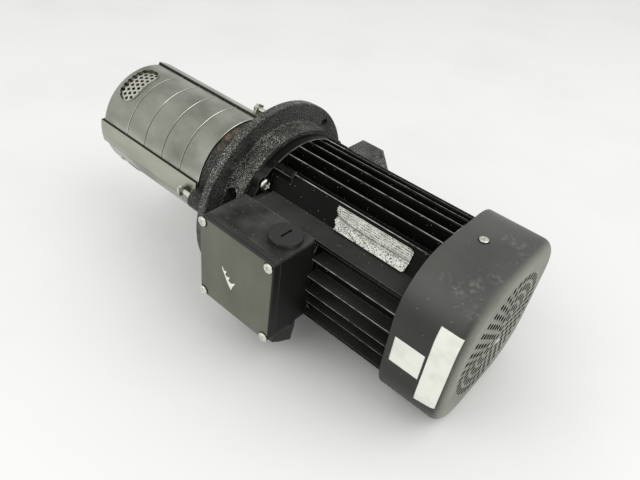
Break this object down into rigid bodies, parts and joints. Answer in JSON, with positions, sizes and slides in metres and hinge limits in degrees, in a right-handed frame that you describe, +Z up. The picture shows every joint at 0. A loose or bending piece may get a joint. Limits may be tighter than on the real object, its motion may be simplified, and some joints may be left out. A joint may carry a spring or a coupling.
{
  "type": "immersion coolant pump",
  "caption": "Multistage immersion coolant pump lying on its side: stainless stage stack, black tank flange with side port, and a grey finned fan-cooled motor with terminal box",
  "frame": {"origin": "centre of the tank flange's seating face, on the shaft axis", "axes": "+X along the shaft towards the fan, +Y towards the discharge port, +Z up as it lies"},
  "size_m": [0.4297, 0.2242, 0.18],
  "materials": {
    "stainless": "brushed",
    "screen": "satin",
    "strap_steel": "satin",
    "inner_steel": "satin",
    "zinc": "satin",
    "black_iron": "painted satin",
    "coupling_iron": "as cast",
    "carbide": "matte",
    "polymer": "matte",
    "motor_grey": "satin paint",
    "cover_grey": "satin paint",
    "box_grey": "satin paint",
    "lamination": "satin",
    "copper": "enamelled",
    "seal_rubber": "matte",
    "black_plastic": "matte",
    "brass": "satin",
    "cast_aluminium": "as cast",
    "fan_plastic": "matte"
  },
  "bodies": {
    "root": {"strainer_housing": "stainless", "strainer_screen": "screen", "chamber_1": "stainless", "chamber_2": "stainless", "chamber_3": "stainless", "chamber_4": "stainless", "guide_vanes": "inner_steel", "neck_rings": "polymer", "tie_straps": "strap_steel", "strap_studs": "zinc", "strap_nuts": "zinc", "pump_head": "black_iron", "bearing_bush": "carbide", "seal_seat": "carbide", "drive_shield": "motor_grey", "shield_screws": "zinc", "motor_frame": "motor_grey", "stator_core": "lamination", "stator_windings": "copper", "rear_shield": "motor_grey", "rear_shield_screws": "zinc", "bearing_outer_rings": "inner_steel", "fan_cover": "cover_grey", "cover_screws": "zinc", "terminal_box": "box_grey", "box_gasket": "seal_rubber", "terminal_lid": "box_grey", "lid_screws": "zinc", "terminal_block": "black_plastic", "terminal_studs": "brass", "blanking_plug": "black_plastic", "gland_body": "black_plastic", "gland_nut": "black_plastic", "gland_seal": "seal_rubber"},
    "rotor": {"pump_shaft": "inner_steel", "impeller_1": "inner_steel", "impeller_2": "inner_steel", "impeller_3": "inner_steel", "impeller_4": "inner_steel", "shaft_spacers": "inner_steel", "shaft_nut": "inner_steel", "bearing_sleeve": "carbide", "seal_rotor": "carbide", "seal_bellows": "seal_rubber", "coupling_halves": "coupling_iron", "coupling_screws": "zinc", "motor_shaft": "inner_steel", "rotor_core": "lamination", "rotor_end_rings": "cast_aluminium", "bearing_inner_rings": "inner_steel", "bearing_balls": "inner_steel", "fan": "fan_plastic", "fan_circlip": "inner_steel"}
  },
  "joints": [
    {"name": "rotor_spin", "type": "hinge", "parent": "root", "child": "rotor", "pos_m": [0, 0, 0], "axis": [1, 0, 0], "continuous": true}
  ]
}
